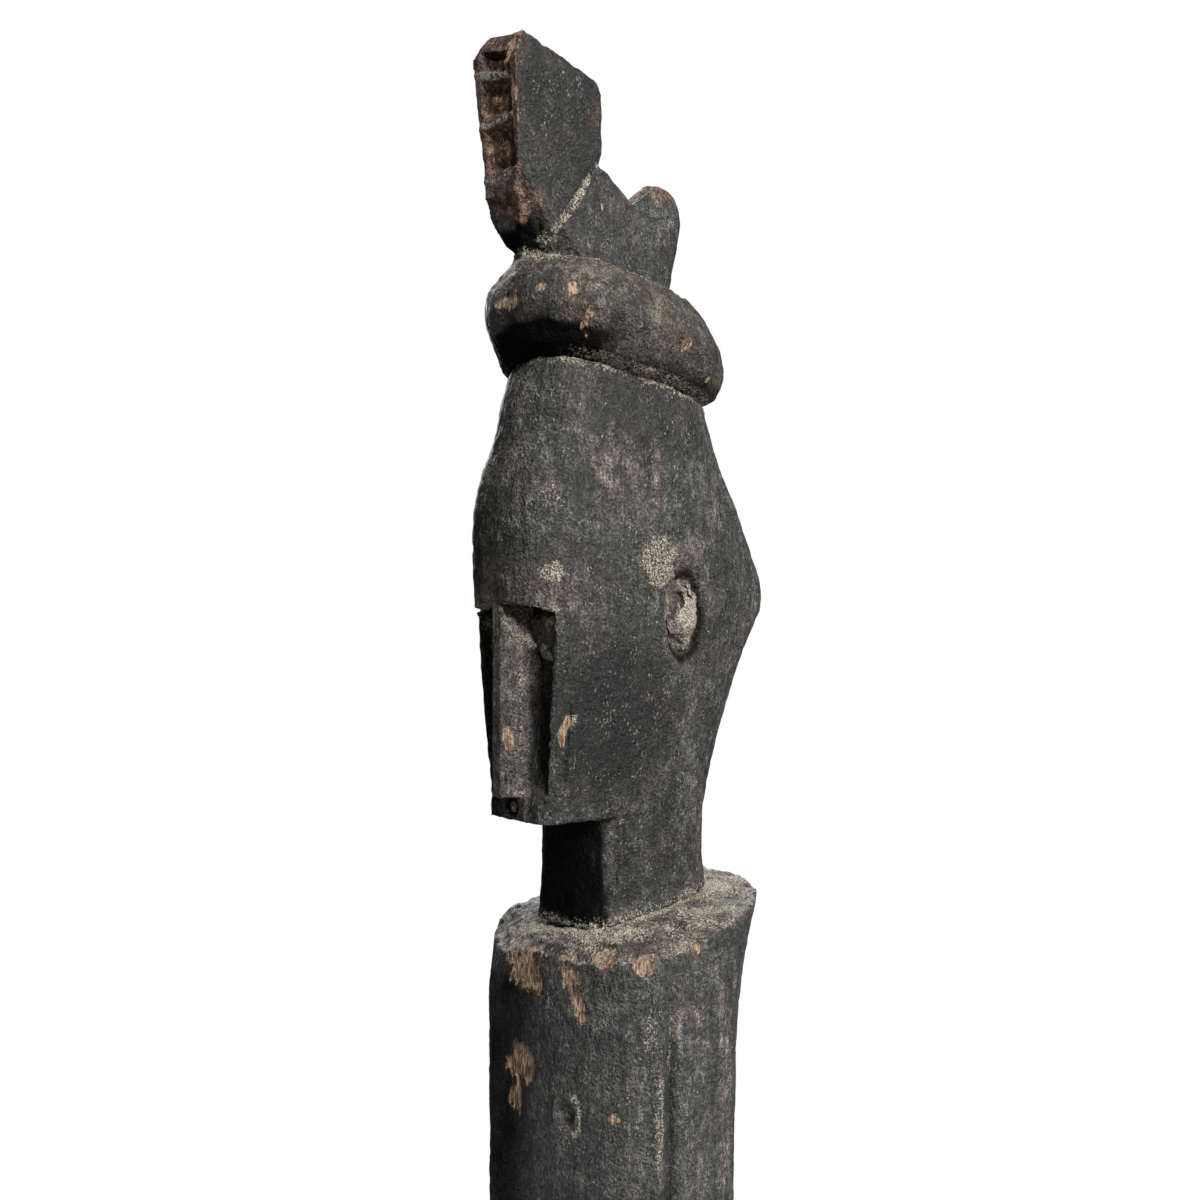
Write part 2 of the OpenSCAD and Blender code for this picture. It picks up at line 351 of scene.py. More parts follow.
# Smaller marks of the surface: channel, centre, half width, half height, tilt, strength.
MARKS = [
    ("dust", (23, -53, 661), 6, 4.5, 0, 0.75),
    ("dust", (29, -37, 686), 1.2, 12, -4, 0.6),
    ("dust", (22, -52, 688), 7, 7, 0, 0.35),
    ("dust", (29, -8, 667), 11, 9, 0, 0.66),
    ("dust", (29, -3, 660), 10, 6, 0, 0.72),
    ("dust", (27, -2, 600), 1.2, 16, 0, 0.5),
    ("dust", (25, 6, 585), 1.2, 14, 0, 0.45),
    ("dust", (29, -22, 676), 1, 9, 0, 0.45),
    ("dust", (48.5, -24.5, 466), 2.6, 30, 0, 0.62),
    ("dust", (47, -27, 495), 4, 9, 0, 0.5),
    ("dust", (42.5, -34, 466), 1.2, 20, 0, 0.5),
    ("dust", (48, -18, 505), 1.0, 12, 0, 0.5),
    ("dust", (20, -45, 455), 6, 5, 0, 0.4),
    ("wear", (27, -30, 705), 15, 18, 0, 0.55),
    ("wear", (29, -6, 690), 5, 30, 0, 0.5),
    ("wear", (26, -40, 720), 12, 10, 0, 0.5),
    ("wear", (49, 10, 470), 10, 60, 0, 0.5),
    ("wear", (48, -10, 500), 14, 14, 0, 0.5),
    ("wear", (12, -25, 838), 5, 12, 0, 0.8),
    ("wear", (10, -50, 800), 6, 7, 0, 0.7),
    ("wear", (29, 8, 668), 9, 10, 0, 0.6),
]

# Wide light and dark areas: centre, half width, half height, change of tone.
TONES = [
    ((27, -25, 607), 38, 42, -0.40),
    ((29, 30, 640), 22, 40, -0.06),
    ((12, -30, 840), 46, 50, -0.30),
    ((12, -40, 798), 16, 20, -0.06),
    ((25, -10, 722), 44, 24, -0.22),
    ((29, -30, 690), 22, 26, 0.04),
    ((21, 0, 552), 30, 22, -0.16),
    ((49, 0, 470), 20, 70, 0.10),
    ((20, -44, 490), 26, 30, 0.08),
]


def weather(skin, facet, grain, seed=0):
    """What the whole log shows: adze facets, vertical grain, small dents and open pores."""
    p = skin.p
    facets = scoops(p, (17, 17, 38), 11 + seed)
    skin.push(facet * (facets**2 - 0.3) + 0.3 * fractal(p, (14, 14, 30), 21 + seed))
    skin.normals()
    streaks = noise(p, (2.2, 2.2, 14), 31) + 0.5 * noise(p, (5, 5, 40), 32)
    dents = ramp(noise(p, (3.4, 3.4, 5.2), 33), 0.4, 0.85)
    skin.push(grain * streaks - 0.35 * dents + 0.12 * noise(p, 1.8, 34) + 0.16 * noise(p, 4.0, 35))


def oval(p, y, z, wide, high):
    """1 at a point of the side view, 0 at the rim of the oval round it, less outside."""
    return 1 - np.hypot((p[:, 1] - y) / wide, (p[:, 2] - z) / high)


def crust(skin):
    """Builds the dust up into small lumps."""
    p = skin.p
    lumps = 0.25 + noise(p, 2.1, 55) + 0.6 * noise(p, 1.2, 56)
    skin.push(0.5 * lumps * ramp(skin.paint["dust"], 0.25, 0.8))


def near(skin, centre, reach):
    """Indices of the vertices in a cube round centre."""
    return np.flatnonzero(np.abs(skin.p - np.array(centre, float)).max(axis=1) < reach)


def chip_away(skin):
    """Breaks the skin down to fibrous wood inside each chip."""
    for centre, wide, high, tilt, depth in CHIPS:
        at = near(skin, centre, 1.8 * max(wide, high) + 2)
        if not len(at):
            continue
        q = skin.p[at]
        field = blob(q, centre, (wide, high), tilt)
        field += 0.45 * noise(q, (5, 5, 8), 41) + 0.35 * noise(q, (2, 2, 4.5), 42) - 0.1
        inside = ramp(field, 0.0, 0.14)
        skin.p[at] -= skin.n[at] * (inside * (depth + 0.22 * noise(q, (1.3, 1.3, 8), 43)))[:, None]
        skin.paint["chip"][at] = np.maximum(skin.paint["chip"][at], np.clip(0.5 + 0.5 * field, 0, 1))


def mark(skin):
    """Paints the listed marks and tones that lie on this skin."""
    for channel, centre, wide, high, tilt, strength in MARKS:
        at = near(skin, centre, 2 * max(wide, high))
        q = skin.p[at]
        field = blob(q, centre, (wide, high), tilt) + 0.35 * noise(q, (3, 3, 5), 45)
        amount = strength * ramp(field, -0.15, 0.45)
        skin.paint[channel][at] = np.maximum(skin.paint[channel][at], amount)
    for centre, wide, high, change in TONES:
        at = near(skin, centre, 1.5 * max(wide, high))
        q = skin.p[at]
        skin.paint["tone"][at] += change * ramp(blob(q, centre, (wide, high)), -0.1, 0.6)


def settle(skin, dust=1.0, wear=1.0):
    """Dust in the hollows and wear on the edges, from the carved shape itself."""
    fine, broad = skin.hollow(4), skin.hollow(24)
    patchy = 0.6 + 0.4 * fractal(skin.p, 9, 51)
    skin.add("dust", dust * patchy * (ramp(fine, 0.05, 0.2) * 0.5 + ramp(broad, 0.3, 1.3)))
    rubbed = 0.55 + 0.45 * fractal(skin.p, (12, 12, 20), 52)
    skin.add("wear", wear * rubbed * ramp(-broad, 0.3, 1.3))


def side_crack(skin):
    """The long drying crack down each side of the trunk."""
    p = skin.p
    level = p * [0, 0, 1]
    crack_y = 1.5 + 1.4 * noise(level, (1, 1, 26), 62) + 0.5 * noise(level, (1, 1, 7), 63)
    crack_and_shade = bell(p[:, 1] - crack_y, 0.8) * ramp(p[:, 2], 330, 360) * ramp(p[:, 2], 522, 500)
    crack_and_shade *= (np.abs(p[:, 0]) > 40) * (0.6 + 0.5 * noise(level, (1, 1, 12), 65))
    skin.push(-1.0 * crack_and_shade)
    skin.add("crack_and_shade", crack_and_shade)


def arm_planes(side):
    """The box that an arm fills, as planes with outward normals."""
    inner = ARM_LOW[0]
    low, high = ARM_LOW[1:] - GROOVE / 2, ARM_HIGH[1:] + GROOVE / 2
    return [
        ((side * inner, 0, 0), (-side, 0, 0)),
        ((0, low[0], 0), FORWARD),
        ((0, high[0], 0), BACK),
        ((0, 0, low[1]), DOWN),
        ((0, 0, high[1]), UP),
    ]


def open_arm_pockets(skin):
    """Takes the arms out of the trunk's skin, so that the arm pieces lie in pockets."""
    p = skin.p
    deep = np.minimum(p[:, 1] - ARM_LOW[1], ARM_HIGH[1] - p[:, 1])
    deep = np.minimum(deep, np.minimum(p[:, 2] - ARM_LOW[2], ARM_HIGH[2] - p[:, 2])) + GROOVE / 2
    outer = np.abs(p[:, 0]) > ARM_LOW[0]
    skin.p = p - skin.n * (0.3 * ramp(deep, 0, 1.2) * outer)[:, None]
    sunk = outer & (deep > 1.2)
    skin.p[sunk, 0] = np.sign(p[sunk, 0]) * ARM_LOW[0]


def carve_body():
    """Trunk, arms, hips, legs and feet."""
    arms = ["left_arm", "right_arm"]
    nodes = ["torso", "hips", "left_leg", "right_leg", "left_foot", "right_foot", *arms]
    swell = {arm: GROOVE + 0.1 for arm in arms}
    skin = Skin(remeshed("body", nodes, 1.0, swell))
    skin.relax(4)
    p = skin.p
    wide, front = np.abs(p[:, 0]), p[:, 1] < 0
    shoulder = ramp(p[:, 2], 496, 520)
    skin.p[:, 2] -= 5.5 * shoulder * ramp(p[:, 0], 12, -32) * ramp(p[:, 1], -18, -38)
    skin.shave((30, -43, 514), (0.25, -0.7, 0.67), ramp(p[:, 0], 4, 14) * ramp(p[:, 1], -28, -36))
    skin.normals()
    skin.push(shoulder * ramp(skin.n[:, 2], 0.3, 0.8) * (1.5 * fractal(p, 9, 68) + 0.6 * noise(p, 3, 67)))
    skin.normals()
    p = skin.p
    level = p * [0, 0, 1]
    upper = ramp(p[:, 2], ARM_LOW[2], ARM_LOW[2] + 6)
    drift = 1.0 * noise(level, (60, 60, 30), 61)
    ridge = bell(p[:, 1] + 24.5 - drift, 2.2) * (wide > 40)
    gutter = bell(p[:, 1] + 19 - drift, 2.0) * (wide > 40) * ramp(p[:, 2], 515, 490)
    shallow = bell(p[:, 1] - ARM_HIGH[1] - 0.6, 1.3) * (wide > 38) * ramp(p[:, 2], 505, 480)
    below = bell(p[:, 2] - ARM_LOW[2] + 0.8, 1.6) * (wide > 40) * (p[:, 1] > -21) * (p[:, 1] < 17)
    faint = bell(p[:, 1] + 34.5, 1.8) * (wide > 34) * front
    rise = ramp(p[:, 2], 508, 486) * upper
    skin.push(rise * (1.5 * ridge + 0.6 * faint) - upper * (3.0 * gutter + 1.2 * shallow) - 1.3 * below)
    skin.add("crack_and_shade", 0.9 * upper * ramp(gutter, 0.3, 0.9) * ramp(p[:, 2], 505, 470))
    pit = blob(p, (20, -45, 463), (5.0, 6.0))
    skin.push((-2.4 * ramp(pit, 0.05, 0.8) + 0.8 * bell(pit + 0.08, 0.13)) * front)
    skin.normals()
    weather(skin, 0.8, 0.15)
    skin.normals()
    chip_away(skin)
    side_crack(skin)
    skin.normals()
    p = skin.p
    settle(skin)
    mark(skin)
    top = ramp(skin.n[:, 2], 0.35, 0.8) * ramp(p[:, 2], 500, 512)
    skin.add("dust", top * (0.46 + 0.75 * fractal(p, 7, 64)))
    skin.add("wear", top * 0.6)
    root = np.hypot(np.maximum(wide - 22, 0), np.maximum(np.maximum(-p[:, 1] - 33, p[:, 1] - 36), 0))
    skin.add("dust", ramp(root, 6, 1) * (p[:, 2] > 515) * (0.9 + 0.4 * fractal(p, 4, 66)))
    rim = blob(p, (24, -44.5, 463), (3.0, 7.5))
    skin.add("dust", 0.95 * bell(rim - 0.05, 0.2) * ramp(p[:, 0], 21, 24) * front)
    # Painted shade: the front faces of the trunk's right half are darkened, as though turned from the light.
    front_shade = ramp(p[:, 0], 16, -16) * ramp(-skin.n[:, 1], 0.2, 0.6)
    skin.add("painted_shade", front_shade * (0.75 + 0.3 * fractal(p, 14, 69)) * ramp(p[:, 2], 512, 500))
    crust(skin)
    mesh = skin.write()
    hip, waist, ankle = (0, 0, HIP_Z), (0, 0, WAIST_Z), (0, 0, LEG_Z + 1.5)
    middle, left, right = (0, 0, 0), (-1, 0, 0), (1, 0, 0)
    parts = {
        "hips": [(waist, UP), (hip, DOWN)],
        "left_leg": [(hip, UP), (ankle, DOWN), (middle, left)],
        "right_leg": [(hip, UP), (ankle, DOWN), (middle, right)],
        "left_foot": [(ankle, UP), (middle, left)],
        "right_foot": [(ankle, UP), (middle, right)],
        "left_arm": arm_planes(1),
        "right_arm": arm_planes(-1),
    }
    for node, planes in parts.items():
        piece(cut(mesh, node, planes), node, "trunk_wood")
    open_arm_pockets(skin)
    skin.place()
    piece(cut(mesh, "torso", [(waist, DOWN)]), "torso", "trunk_wood")


def lift_brow(p):
    """Arches the brow ledge: how far up each point near it goes, in mm."""
    arch = 4 * (1 - np.minimum(np.abs(p[:, 0]) / 27, 1) ** 2)
    return arch * bell(p[:, 2] - BROW_Z, 9) * ramp(p[:, 1], -36, -44)


def carve_head():
    """Neck, face and cranium, one continuous surface at the back and sides."""
    skin = Skin(remeshed("head", ["neck", "face", "cranium"], 0.8))
    skin.relax(4)
    p = skin.p
    skin.p[:, 2] += lift_brow(p)
    wide = np.abs(p[:, 0])
    cheeks = ramp(p[:, 1], -36, -43) * (p[:, 2] < BROW_Z - 1) * ramp(p[:, 2], CHIN_Z + 7, CHIN_Z + 15)
    skin.p += (skin.averaged(skin.p, 24) - skin.p) * cheeks[:, None]
    floor_y = -46 - 5 * ramp(p[:, 2], BROW_Z - 20, BROW_Z - 3)
    floor_y -= 7.5 * ramp(p[:, 2], CHIN_Z + 20, CHIN_Z + 5) * ramp(wide, 22, 14)
    sunk = (wide < 25) & (p[:, 1] < -42) & (p[:, 2] > CHIN_Z - 0.6) & (p[:, 2] < BROW_Z - 0.5)
    skin.p[:, 1] = np.where(sunk, np.minimum(p[:, 1], floor_y), p[:, 1])
    skin.push(-2.6 * bell(p[:, 2] - 712, 13) * ramp(p[:, 1], -34, -46))
    skin.normals()
    skin.push(1.6 * bell(p[:, 2] - 648, 16) * ramp(p[:, 1], 44, 58))
    skin.push(1.2 * bell(p[:, 2] - 686, 26) * ramp(p[:, 1], 28, 48))
    skin.normals()
    weather(skin, 0.7, 0.13, seed=3)
    skin.normals()
    p = skin.p
    around = np.hypot((p[:, 1] - EAR_Y) / 8, (p[:, 2] - EAR_Z) / 14)
    ragged = around + 0.16 * noise(p, 6, 74)
    lip = (wide > 20) * ramp(ragged, 1.7, 0.9)
    hole = ramp(oval(p, 1.8, 650, 4.4, 8.5), 0, 0.6) * (wide > 18)
    bowl = np.minimum(wide, 24.2 + 5.5 * ramp(ragged, 0.85, 1.8) - 3 * hole)
    skin.p[:, 0] = np.where(wide > 20, np.sign(p[:, 0]) * bowl, p[:, 0])
    skin.add("wear", 0.75 * lip)
    # Painted shade: the ear's hole is painted near black, and a dark ring is painted on the pit's inner wall.
    skin.add("crack_and_shade", 0.9 * hole)
    skin.add("painted_shade", 0.8 * bell(ragged - 1.18, 0.18) * (wide > 20))
    rim = bell(ragged - 1.45, 0.22) * (wide > 22)
    skin.add("dust", 0.62 * rim * (0.6 + 0.6 * noise(p, 4, 75)) * ramp(p[:, 1] - 0.25 * p[:, 2], -150, -158))
    crease = blob(p, (29, -36, 686), (1.6, 14), -4)
    skin.push(-0.5 * ramp(crease, 0, 0.6))
    skin.normals()
    chip_away(skin)
    skin.normals()
    p = skin.p
    settle(skin)
    mark(skin)
    slant = p[:, 2] + RING_SLOPE * p[:, 1] - RING_MID_Z + RING_HALF
    skin.add("dust", ramp(slant, -6.5, -1) * (0.85 + 0.5 * fractal(p, 5, 71)))
    root = p[:, 2] - NECK_SLOPE * p[:, 1] - NECK_Z
    skin.add("dust", ramp(root, 7, 1) * (0.5 + 0.45 * fractal(p, 4, 72)))
    brow = BROW_Z + lift_brow(p)
    under = ramp(p[:, 2] - brow, -12, -2) * (p[:, 2] < brow + 1) * (p[:, 1] < -40) * (wide < 25)
    skin.add("dust", under * (0.6 + 0.35 * noise(p, 3, 73)))
    band = ramp(p[:, 2] - brow, -1, 2) * ramp(p[:, 2] - brow, 24, 14) * ramp(p[:, 1], -40, -47)
    skin.add("wear", band * (0.75 + 0.35 * noise(p, (4, 4, 14), 76)))
    cheek = (p[:, 2] < brow - 1) * ramp(p[:, 1], -46.5, -49) * (wide > 14)
    skin.add("wear", 0.5 * cheek * (0.7 + 0.6 * noise(p, (5, 5, 12), 77)))
    # Painted shade in the hollow beside the nose, below the brow.
    hollow = ramp(p[:, 1], -50.5, -48) * (p[:, 1] < -42) * (wide < 25)
    skin.add("painted_shade", 0.12 * hollow * ramp(p[:, 2] - brow, -3, -12) * (p[:, 2] > CHIN_Z - 1))
    # Painted shade over the front of the face, from below the temples down to the chin.
    skin.add("painted_shade", 0.15 * ramp(p[:, 1], -8, -26) * ramp(p[:, 2], 690, 660) * (p[:, 2] > CHIN_Z))
    # Painted shade on the front of the neck, under the chin.
    shaded = ramp(-skin.n[:, 1] + 0.25 * noise(p, 7, 79), 0.0, 0.7)
    skin.add("painted_shade", shaded * ramp(p[:, 2], CHIN_Z + 1, CHIN_Z - 1))
    debris = strip(p, (5, -60, 643), (13, -48, 631), 3.5) + 0.4 * noise(p, 2.5, 78)
    skin.push(1.1 * ramp(debris, 0, 0.6))
    skin.add("dust", ramp(debris, -0.1, 0.4))
    # Painted shade on the front faces of the head's right half.
    skin.add("painted_shade", 0.6 * ramp(p[:, 0], 10, -20) * ramp(-skin.n[:, 1], 0.2, 0.7))
    # Painted shade in a ring round the mouth, with dust in its middle.
    mouth = np.hypot(p[:, 0], p[:, 2] - CHIN_Z - 5)
    skin.add("painted_shade", 0.9 * ramp(mouth, 5.5, 3.5) * (p[:, 1] < -46))
    skin.add("dust", 0.9 * ramp(mouth, 3.0, 1.5) * (p[:, 1] < -46))
    crust(skin)
    mesh = skin.write()
    chin, ledge = (0, 0, CHIN_Z - 1.2), (0, 0, BROW_Z - 1.2)
    piece(cut(mesh, "neck", [(chin, UP)]), "neck", "head_wood")
    piece(cut(mesh, "face", [(chin, DOWN), (ledge, UP)]), "face", "head_wood")
    piece(cut(mesh, "cranium", [(ledge, DOWN)]), "cranium", "head_wood")


def carve_nose():
    """The half-round slab, with a bead of debris beside its root."""
    skin = Skin(remeshed("nose", ["nose"], 0.5))
    skin.relax(6)
    skin.p[:, 2] += lift_brow(skin.p) * ramp(skin.p[:, 2], 620, BROW_Z)
    skin.normals()
    p = skin.p
    skin.push(0.35 * fractal(p, (6, 6, 16), 81) + 0.16 * noise(p, (1.6, 1.6, 24), 82))
    bead = strip(p, (5, -60, 643), (14, -46.5, 629), 4.0)
    skin.push(1.3 * ramp(bead, 0, 0.6) * (0.6 + 0.7 * noise(p, 2, 84)))
    skin.normals()
    chip_away(skin)
    skin.normals()
    settle(skin, 0.4, 0.9)
    skin.add("dust", ramp(bead + 0.3 * noise(p, 2, 85), 0, 0.4))
    skin.add("dust", ramp(p[:, 2], BROW_Z - 6, BROW_Z + 2) * 0.5)
    skin.add("dust", 0.66 * bell(p[:, 1] + 54.5, 1.7) * (0.7 + 0.5 * noise(p, (3, 3, 9), 86)) * (p[:, 0] > 3))
    skin.add("wear", 0.9 * ramp(p[:, 0], 1, -4))
    # Painted shade on the side of the nose by its root, less where dust lies.
    skin.add("painted_shade", 0.6 * ramp(p[:, 1], -53.2, -51) * (1 - 0.8 * skin.paint["dust"]))
    crust(skin)
    piece(skin.write(), "nose", "nose_wood")


def carve_ears():
    """The boss of each ear, with two deep pits."""
    for node, side in (("left_ear", 1), ("right_ear", -1)):
        skin = Skin(remeshed(node, [node], 0.5, {node: 1.9}))
        skin.relax(5)
        p = skin.p
        outer = ramp(p[:, 0] * side, 24.5, 27)
        low, high = oval(p, 1.5, 634, 4.4, 4.5), oval(p, 1.8, 650, 4.2, 8.0)
        lump = 2.2 * fractal(p, 7, 91) + 1.0 * noise(p, 2.4, 93)
        rounded = 3.0 * np.hypot((p[:, 1] - EAR_Y) / 9, (p[:, 2] - EAR_Z) / 15) ** 2
        swollen = 1.6 * ramp(oval(p, 10, 639, 5, 9), 0, 0.7)
        pits = 3.4 * ramp(high, 0, 0.7) + 2.6 * ramp(low, 0, 0.7)
        skin.push(outer * (lump + swollen - 1.0 - rounded - pits))
        skin.normals()
        p = skin.p
        # Painted shade: the two pits are painted near black.
        shut = np.maximum(0.7 * ramp(low, 0, 0.6), ramp(high, 0, 0.5))
        skin.add("crack_and_shade", 0.9 * shut * outer)
        pale = oval(p, 9.5, 645, 7.5, 15) + 0.3 * noise(p, 3.2, 92)
        skin.add("dust", outer * (0.35 + 0.75 * ramp(pale, 0, 0.5)) * (1 - shut))
        skin.add("wear", 0.9 * np.ones(len(p)))
        crust(skin)
        piece(skin.write(), node, "ear_wood")


def carve_headband():
    """The rolled ring, undercut, with painted shade below its front."""
    skin = Skin(remeshed("headband", ["headband"], 0.75))
    skin.relax(4)
    p = skin.p
    share = (p[:, 2] + RING_SLOPE * p[:, 1] - RING_MID_Z) / RING_HALF
    rise = np.clip((share + 1) / 0.8, 0, 1)
    undercut = np.sqrt(np.clip(1 - (1 - rise) ** 2, 0, 1)) - rise
    level = skin.n * [1, 1, 0]
    skin.p = p - level * (8 * undercut * (share < -0.2) * ramp(p[:, 1], 22, 4))[:, None]
    skin.normals()
    sag = ramp(p[:, 0], 14, -18) * ramp(p[:, 1], -12, -36) * ramp(share, 0.1, -0.8)
    skin.p[:, 2] -= 4.5 * sag
    skin.push(1.7 * fractal(p, (16, 16, 12), 101, 2))
    skin.normals()
    weather(skin, 0.6, 0.05, seed=5)
    skin.normals()
    p = skin.p
    skin.push(0.16 * noise(p, (7, 7, 1.6), 102))
    skin.normals()
    chip_away(skin)
    skin.normals()
    settle(skin)
    mark(skin)
    skin.add("dust", ramp(share, 0.78, 0.98) * (0.6 + 0.4 * fractal(p, 5, 103)))
    skin.add("dust", ramp(share, -0.86, -0.98) * (0.7 + 0.4 * fractal(p, 4, 105)) * ramp(p[:, 1], -50, -30))
    skin.add("wear", (0.25 + 0.6 * fractal(p, (14, 14, 9), 104)) * ramp(share, -0.3, 0.4))
    # Painted shade on the ring's underside, strongest at the front.
    shadow = share + 0.1 * noise(p, 9, 106)
    skin.add("painted_shade", ramp(shadow, -0.42, -0.62) * ramp(p[:, 1], -16, -40))
    skin.add("painted_shade", 0.5 * ramp(shadow, -0.5, -0.85))
    skin.add("dust", 0.8 * ramp(share, 0.6, 0.9) * ramp(p[:, 1], -36, -44) * (0.8 + 0.4 * noise(p, 4, 107)))
    crust(skin)
    piece(skin.write(), "headband", "headband_wood")


FIN_CELLS = [(-9.6, 4.5, 72.5, 80), (-9.6, 7.5, 58.5, 69.5), (-9.4, 7.8, 38.5, 55)]  # x and height ranges


def fin_front(height):
    """Y of the fin's front edge at a height above the headband."""
    return np.where(height < 76, -61.5 + 0.092 * (76 - height), -61.5 + 0.46 * (height - 76))


def cut_fin_cells(skin, height):
    """Sinks three shallow cells with uneven floors in the front of the fin. Gives how deep each point is."""
    p = skin.p
    inside = np.zeros(len(p))
    for x0, x1, z0, z1 in FIN_CELLS:
        edge = np.minimum(np.minimum(p[:, 0] - x0, x1 - p[:, 0]), np.minimum(height - z0, z1 - height))
        inside = np.maximum(inside, ramp(edge + 0.5 * noise(p, (4, 4, 4), 116), -0.2, 1.3))
    inside *= p[:, 1] < fin_front(height) + 3
    notch = bell(p[:, 0] - 6, 2.2) * bell(height - 65, 4.5) + bell(p[:, 0] - 6.5, 1.8) * bell(height - 46, 6)
    skin.p[:, 1] += inside * (2.1 + 1.5 * notch + 0.6 * noise(p, 4, 117) + 0.3 * noise(p, 1.8, 118))
    return inside


def carve_crest():
    """Fin, saddle and knob, one surface divided by the V-groove and behind the saddle."""
    nodes = ["crest_fin", "crest_saddle", "crest_knob"]
    block = [(float(fin_front(h)), CREST_Z + h) for h in (30, 76, 80)]
    block += [(-54, CREST_Z + 80), (-54, CREST_Z + 30)]
    skin = Skin(remeshed("crest", nodes, 0.65, {"crest_fin": 0.5}, (block, 9)))
    skin.relax(2)
    p = skin.p
    height = p[:, 2] - CREST_Z
    far_side = ramp(p[:, 0], 10, -12.5) * ramp(height, 56, 78)
    skin.p[:, 2] += far_side * (2.0 + 3.4 * ramp(p[:, 1], -54, -60.5))
    base_z = p[:, 2] + RING_SLOPE * p[:, 1] - CREST_Z
    fuller = (1.2 + 2.4 * ramp(height, 42, 22)) * ramp(base_z, -2, 16) - 2.2 * ramp(base_z, 6, 0)
    skin.p[:, :2] -= (fuller * ramp(p[:, 0], 0, -9) * ramp(p[:, 1], -30, -44))[:, None] * [0.85, 0.6]
    foot, edge = np.array([0, -47, CREST_Z + 8]), np.array([0, 27, 38]) / math.hypot(27, 38)
    ahead = np.array([0, -edge[2], edge[1]])
    corner, down = np.array([12.5, -52, CREST_Z + 34]), np.array([0.62, -0.62, -0.47])
    skin.shave(corner, down)
    skin.normals()
    inside = cut_fin_cells(skin, height)
    skin.normals()
    p = skin.p
    off = (p - foot) @ ahead
    along = (p - foot) @ edge
    groove = bell(off, 2.0) * ramp(along, 52, 44) * ramp(along, 2, 8)
    skin.push(-1.5 * groove * (np.abs(p[:, 0]) > 5))
    skin.normals()
    weather(skin, 0.6, 0.08, seed=7)
    skin.normals()
    chip_away(skin)
    skin.normals()
    p = skin.p
    settle(skin, 0.6)
    mark(skin)
    broad = 2.2 + 3.4 * ramp(along, 22, 0) + 0.9 * noise(p, 6, 110)
    seam = ramp(np.abs(off - 0.5), broad, 0.35 * broad) * ramp(along, 54, 44) * (np.abs(p[:, 0]) > 3)
    skin.add("dust", seam * (0.55 + 0.5 * noise(p, 3.5, 111) + 0.4 * noise(p, 1.4, 119)))
    base_z = p[:, 2] + RING_SLOPE * p[:, 1] - CREST_Z
    skin.push(0.7 * ramp(base_z, 2.5, 0))
    skin.add("dust", ramp(base_z, 5, 1) * (0.55 + 0.45 * ramp(p[:, 1], -20, -40) + 0.3 * noise(p, 3, 112)))
    skin.add("wear", ramp(p[:, 1], 2, 9) * ramp(p[:, 2], CREST_Z + 34, CREST_Z + 42) * 0.95)
    front = ramp(-skin.n[:, 1], 0.35, 0.7) * (p[:, 1] < fin_front(height) + 6)
    skin.add("red", inside * (1 - 0.75 * ramp(height, 70, 74)))
    # Painted shade in the top cell's far corner and down the notch of the lower cells.
    skin.add("painted_shade", 0.7 * inside * ramp(height, 70, 74) * ramp(p[:, 0], 5, 1))
    skin.add("painted_shade", 0.75 * inside * bell(p[:, 0] - 6.5, 2.0) * (height < 70))
    ridges = bell(height - 71.3, 1.5) + 0.9 * bell(height - 57, 1.7) + 0.7 * bell(height - 36.5, 1.6)
    skin.add("dust", front * ridges * (0.95 + 0.3 * noise(p, 2.5, 113)) * ramp(p[:, 0], 10, 7))
    skin.add("wear", front * (height > 24) * 0.95)
    patch = blob(p, (3, -57, CREST_Z + 25), (13, 8))
    skin.add("red", 0.8 * ramp(patch + 0.35 * noise(p, 4, 114), 0, 0.3) * (p[:, 1] < -50))
    # Painted shade under the shaved corner and on the front faces low on the fin.
    skin.add("painted_shade", ramp((p - corner) @ down, -2.6, -1.2) * ramp(height, 24, 19) * ramp(p[:, 0], 8, 3))
    skin.add("painted_shade", ramp(-skin.n[:, 1], 0.4, 0.7) * ramp(height, 21, 16) * ramp(off, 1, 3))
    skin.add("red", 0.75 * front * ramp(p[:, 0], 4, 6) * ramp(height, 50, 56))
    crust(skin)
    mesh = skin.write()
    rear = (0, 6, 0)
    piece(cut(mesh, "fin", [(foot, -ahead)]), nodes[0], "crest_wood")
    piece(cut(mesh, "saddle", [(foot, ahead), (rear, BACK)]), nodes[1], "crest_wood")
    piece(cut(mesh, "knob", [(rear, FORWARD)]), nodes[2], "crest_wood")


def carve_plinth():
    """The round foot of the log, with its underside left flat."""
    skin = Skin(remeshed("plinth", ["plinth"], 1.3))
    skin.relax(4)
    flat = skin.p.copy()
    weather(skin, 0.9, 0.2, seed=13)
    skin.p = flat + (skin.p - flat) * ramp(flat[:, 2], 2, 8)[:, None]
    skin.normals()
    settle(skin)
    skin.add("dust", 0.5 * ramp(skin.n[:, 2], 0.5, 0.9) * (0.7 + 0.3 * fractal(flat, 12, 131)))
    piece(skin.write(), "plinth", "trunk_wood")


# ---------------------------------------------------------------- materials


